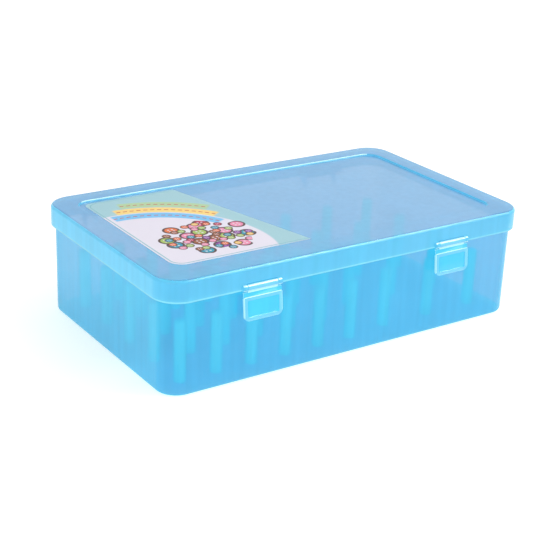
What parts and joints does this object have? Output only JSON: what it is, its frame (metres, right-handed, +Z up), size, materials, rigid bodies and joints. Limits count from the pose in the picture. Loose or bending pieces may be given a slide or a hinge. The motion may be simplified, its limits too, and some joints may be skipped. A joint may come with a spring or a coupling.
{
  "type": "thread storage box",
  "caption": "See-through blue sewing box with upright pegs for thread reels, a hinged lid with a sunken panel and card, and snap latches on the front.",
  "frame": {"origin": "on the table, under the middle of the box, in the plane of the tray's underside", "axes": "+X along the length, from the small pegs' end to the large pegs' end; +Y from the latches to the hinges; +Z up"},
  "size_m": [0.245, 0.1552, 0.0665],
  "materials": {
    "tray_plastic": "see-through blue, glossy",
    "lid_plastic": "see-through blue, glossy",
    "latch_plastic": "see-through pale blue, glossy",
    "peg_plastic": "see-through blue, satin",
    "pin_plastic": "see-through blue, satin",
    "card": "printed card, satin"
  },
  "bodies": {
    "tray": {"tray": "tray_plastic", "hinge_pin_left": "pin_plastic", "hinge_pin_right": "pin_plastic", "small_pegs_column_1": "peg_plastic", "small_pegs_column_2": "peg_plastic", "small_pegs_column_3": "peg_plastic", "small_pegs_column_4": "peg_plastic", "small_pegs_column_5": "peg_plastic", "small_pegs_column_6": "peg_plastic", "large_peg_c1_r1": "peg_plastic", "large_peg_c1_r2": "peg_plastic", "large_peg_c1_r3": "peg_plastic", "large_peg_c1_r4": "peg_plastic", "large_peg_c2_r1": "peg_plastic", "large_peg_c2_r2": "peg_plastic", "large_peg_c2_r3": "peg_plastic", "large_peg_c2_r4": "peg_plastic", "large_peg_c3_r1": "peg_plastic", "large_peg_c3_r2": "peg_plastic", "large_peg_c3_r3": "peg_plastic", "large_peg_c3_r4": "peg_plastic"},
    "lid": {"lid": "lid_plastic", "label_card": "card"},
    "latch_left": {"latch_left": "latch_plastic"},
    "latch_right": {"latch_right": "latch_plastic"}
  },
  "joints": [
    {"name": "lid_hinge", "type": "hinge", "parent": "tray", "child": "lid", "pos_m": [0, 0.0762, 0.0521], "axis": [-1, 0, 0], "range_deg": [0, 180]},
    {"name": "latch_left_pivot", "type": "hinge", "parent": "lid", "child": "latch_left", "pos_m": [-0.065, -0.0731, 0.0555], "axis": [-1, 0, 0], "range_deg": [0, 135]},
    {"name": "latch_right_pivot", "type": "hinge", "parent": "lid", "child": "latch_right", "pos_m": [0.065, -0.0731, 0.0555], "axis": [-1, 0, 0], "range_deg": [0, 135]}
  ]
}
